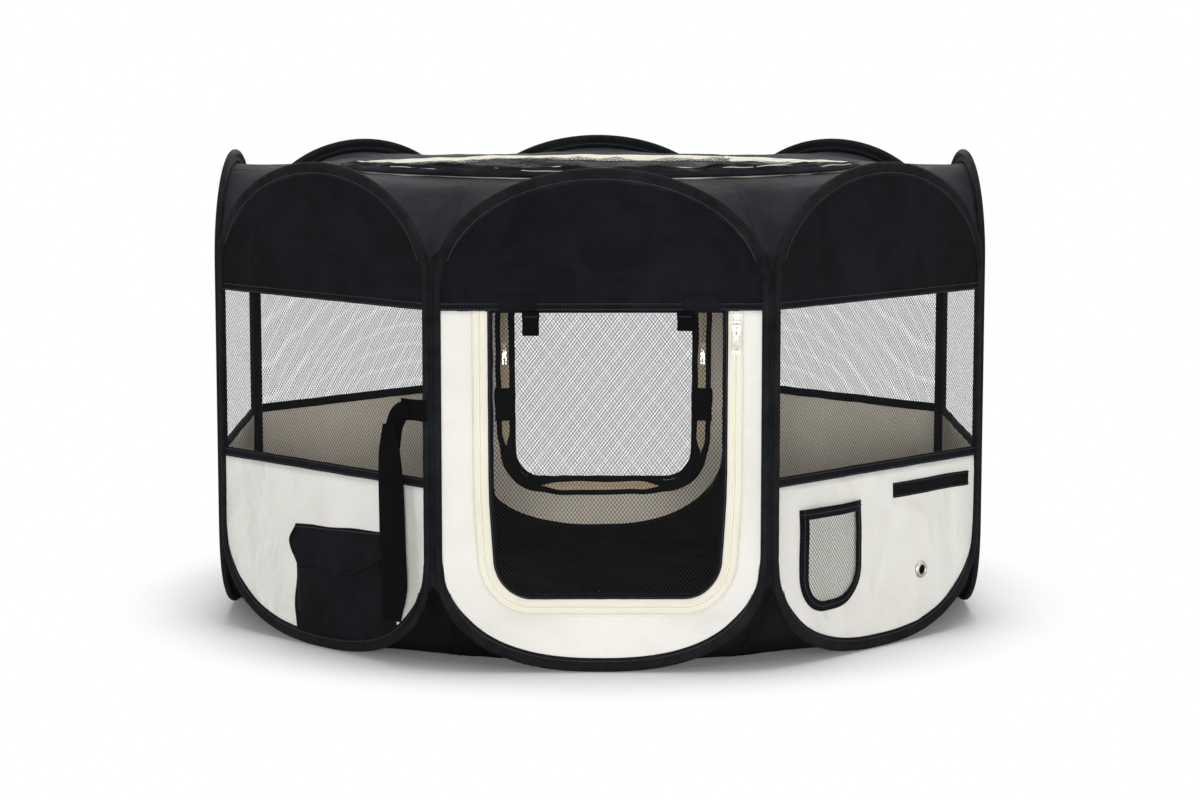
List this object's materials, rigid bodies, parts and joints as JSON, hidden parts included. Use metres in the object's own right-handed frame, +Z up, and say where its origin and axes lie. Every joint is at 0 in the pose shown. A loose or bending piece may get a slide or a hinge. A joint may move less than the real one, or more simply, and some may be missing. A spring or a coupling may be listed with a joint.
{
  "type": "foldable dog playpen",
  "caption": "Folding octagonal fabric pet pen with sprung hoop panels, net windows, zip doors, pockets, a floor and a zip-off net roof cover.",
  "frame": {"origin": "on the ground at the middle of the pen", "axes": "+Z up, -Y out through the front door panel, +X to the right as seen from the front"},
  "size_m": [0.9524, 0.9458, 0.5801],
  "materials": {
    "black_cloth": "coated oxford weave",
    "floor_cloth": "waterproof coated oxford weave",
    "charcoal_cloth": "plain weave, slightly sheer",
    "cream_cloth": "coated oxford weave",
    "zip_tape": "woven tape with a nylon coil",
    "net": "knitted polyester net",
    "cover_net": "fine glossy net",
    "hook_and_loop": "matt pile",
    "webbing": "ribbed webbing",
    "spring_steel": "oiled spring wire",
    "zip_metal": "nickel plate"
  },
  "bodies": {
    "front_panel": {"front_hoop_spring": "spring_steel", "front_hoop_sleeve": "black_cloth", "front_door_surround": "cream_cloth", "front_floor_gore": "floor_cloth", "front_roof_gore": "charcoal_cloth"},
    "front_right_panel": {"front_right_hoop_spring": "spring_steel", "front_right_hoop_sleeve": "black_cloth", "front_right_skirt": "cream_cloth", "front_right_mesh_window": "net", "front_right_floor_gore": "floor_cloth", "front_right_roof_gore": "charcoal_cloth", "bottle_pocket": "net", "hook_and_loop_strip": "hook_and_loop", "eyelet": "zip_metal"},
    "right_panel": {"right_hoop_spring": "spring_steel", "right_hoop_sleeve": "black_cloth", "right_skirt": "cream_cloth", "right_mesh_window": "net", "right_floor_gore": "floor_cloth", "right_roof_gore": "charcoal_cloth"},
    "rear_right_panel": {"rear_right_hoop_spring": "spring_steel", "rear_right_hoop_sleeve": "black_cloth", "rear_right_skirt": "cream_cloth", "rear_right_mesh_window": "net", "rear_right_floor_gore": "floor_cloth", "rear_right_roof_gore": "charcoal_cloth"},
    "rear_panel": {"rear_hoop_spring": "spring_steel", "rear_hoop_sleeve": "black_cloth", "rear_door_surround": "cream_cloth", "rear_floor_gore": "floor_cloth", "rear_roof_gore": "charcoal_cloth"},
    "rear_left_panel": {"rear_left_hoop_spring": "spring_steel", "rear_left_hoop_sleeve": "black_cloth", "rear_left_skirt": "cream_cloth", "rear_left_mesh_window": "net", "rear_left_floor_gore": "floor_cloth", "rear_left_roof_gore": "charcoal_cloth"},
    "left_panel": {"left_hoop_spring": "spring_steel", "left_hoop_sleeve": "black_cloth", "left_skirt": "cream_cloth", "left_mesh_window": "net", "left_floor_gore": "floor_cloth", "left_roof_gore": "charcoal_cloth"},
    "front_left_panel": {"front_left_hoop_spring": "spring_steel", "front_left_hoop_sleeve": "black_cloth", "front_left_skirt": "cream_cloth", "front_left_mesh_window": "net", "front_left_floor_gore": "floor_cloth", "front_left_roof_gore": "charcoal_cloth", "side_pocket": "black_cloth"},
    "front_door": {"front_door_mesh": "net"},
    "rear_door": {"rear_door_mesh": "net"},
    "front_zip_slider": {"front_zip_slider": "zip_metal"},
    "rear_zip_slider": {"rear_zip_slider": "zip_metal"},
    "pocket_flap": {"pocket_flap": "black_cloth"},
    "hanging_strap": {"hanging_strap": "webbing"},
    "roof_ring": {"roof_zip_ring": "zip_tape"},
    "top_cover": {"top_cover": "cover_net"},
    "roof_zip_slider": {"roof_zip_slider": "zip_metal"}
  },
  "joints": [
    {"name": "pen_fold", "type": "hinge", "parent": "front_panel", "child": "front_right_panel", "pos_m": [0.19193, -0.46336, 0.29], "axis": [0, 0, 1], "range_deg": [0, 134], "deforming": ["front_floor_gore", "front_right_floor_gore", "right_floor_gore", "rear_right_floor_gore", "rear_floor_gore", "rear_left_floor_gore", "left_floor_gore", "front_left_floor_gore", "front_roof_gore", "front_right_roof_gore", "right_roof_gore", "rear_right_roof_gore", "rear_roof_gore", "rear_left_roof_gore", "left_roof_gore", "front_left_roof_gore", "roof_zip_ring", "top_cover"]},
    {"name": "fold_front_right_to_right", "type": "hinge", "parent": "front_right_panel", "child": "right_panel", "pos_m": [0.47636, -0.19731, 0.29], "axis": [0, 0, 1], "range_deg": [-225, 0]},
    {"name": "fold_right_to_rear_right", "type": "hinge", "parent": "right_panel", "child": "rear_right_panel", "pos_m": [0.46336, 0.19193, 0.29], "axis": [0, 0, 1], "range_deg": [0, 135]},
    {"name": "fold_rear_right_to_rear", "type": "hinge", "parent": "rear_right_panel", "child": "rear_panel", "pos_m": [0.194, 0.46836, 0.29], "axis": [0, 0, 1], "range_deg": [-45, 0]},
    {"name": "fold_front_to_front_left", "type": "hinge", "parent": "front_panel", "child": "front_left_panel", "pos_m": [-0.194, -0.46836, 0.29], "axis": [0, 0, 1], "range_deg": [0, 45]},
    {"name": "fold_front_left_to_left", "type": "hinge", "parent": "front_left_panel", "child": "left_panel", "pos_m": [-0.46336, -0.19193, 0.29], "axis": [0, 0, 1], "range_deg": [-135, 0]},
    {"name": "fold_left_to_rear_left", "type": "hinge", "parent": "left_panel", "child": "rear_left_panel", "pos_m": [-0.47636, 0.19731, 0.29], "axis": [0, 0, 1], "range_deg": [0, 225]},
    {"name": "roof_ring_shift", "type": "slide", "parent": "front_panel", "child": "roof_ring", "axis": [-1, 0, 0], "range_m": [0, 0.195]},
    {"name": "top_cover_lift", "type": "slide", "parent": "roof_ring", "child": "top_cover", "axis": [0, 0, 1], "range_m": [0, 0.25]},
    {"name": "roof_zip_run", "type": "hinge", "parent": "roof_ring", "child": "roof_zip_slider", "pos_m": [0, 0, 0.56], "axis": [0, 0, 1], "range_deg": [0, 340]},
    {"name": "front_door_lift", "type": "hinge", "parent": "front_panel", "child": "front_door", "pos_m": [0.009, -0.46986, 0.418], "axis": [-1, 0, 0], "range_deg": [0, 165]},
    {"name": "front_zip_run", "type": "slide", "parent": "front_panel", "child": "front_zip_slider", "axis": [0, 0, -1], "range_m": [0, 0.24]},
    {"name": "rear_door_lift", "type": "hinge", "parent": "rear_panel", "child": "rear_door", "pos_m": [0.009, 0.46986, 0.418], "axis": [1, 0, 0], "range_deg": [0, 165]},
    {"name": "rear_zip_run", "type": "slide", "parent": "rear_panel", "child": "rear_zip_slider", "axis": [0, 0, -1], "range_m": [0, 0.24]},
    {"name": "pocket_flap_lift", "type": "hinge", "parent": "front_left_panel", "child": "pocket_flap", "pos_m": [-0.30714, -0.35734, 0.156], "axis": [-0.7071, 0.7071, 0], "range_deg": [0, 150]},
    {"name": "strap_swing", "type": "hinge", "parent": "front_left_panel", "child": "hanging_strap", "pos_m": [-0.23925, -0.433, 0.297], "axis": [-0.7071, 0.7071, 0], "range_deg": [0, 80]}
  ],
  "couplings": [
    {"joint": "fold_front_right_to_right", "follows": "pen_fold", "ratio": -1.6667},
    {"joint": "fold_right_to_rear_right", "follows": "pen_fold", "ratio": 1},
    {"joint": "fold_rear_right_to_rear", "follows": "pen_fold", "ratio": -0.33333},
    {"joint": "fold_front_to_front_left", "follows": "pen_fold", "ratio": 0.33333},
    {"joint": "fold_front_left_to_left", "follows": "pen_fold", "ratio": -1},
    {"joint": "fold_left_to_rear_left", "follows": "pen_fold", "ratio": 1.6667},
    {"joint": "roof_ring_shift", "follows": "pen_fold", "m_per_rad": 0.082336}
  ]
}
